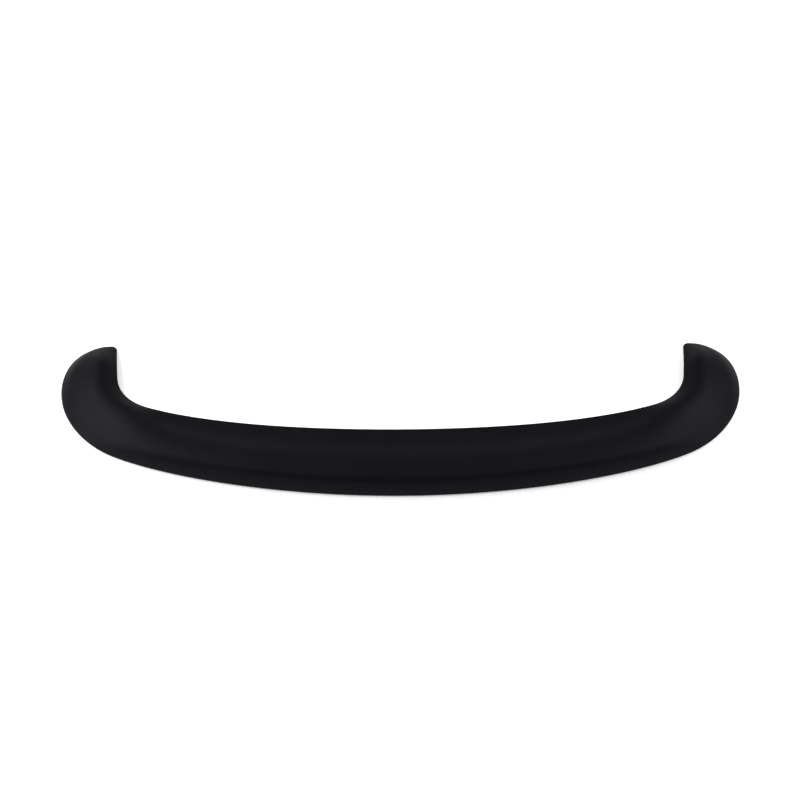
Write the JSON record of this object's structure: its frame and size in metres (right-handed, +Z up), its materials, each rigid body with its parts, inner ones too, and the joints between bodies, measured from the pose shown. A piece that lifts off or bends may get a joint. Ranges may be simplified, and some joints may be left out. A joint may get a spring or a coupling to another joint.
{
  "type": "roof spoiler",
  "caption": "One-piece car roof spoiler: a gently bowed lip blade whose ends sweep forward into two domed horns, bonded on by its underside.",
  "frame": {"origin": "on the floor under the middle of the part's width and depth, with the part lying as it comes to rest", "axes": "+X across the car to the right as seen from behind, +Y towards the front of the car, where the horns point, +Z up"},
  "size_m": [1.15, 0.3138, 0.0347],
  "materials": {
    "moulded_skin": "satin black moulded skin with a fine, even grain"
  },
  "bodies": {
    "root": {"spoiler": "moulded_skin"}
  },
  "joints": []
}
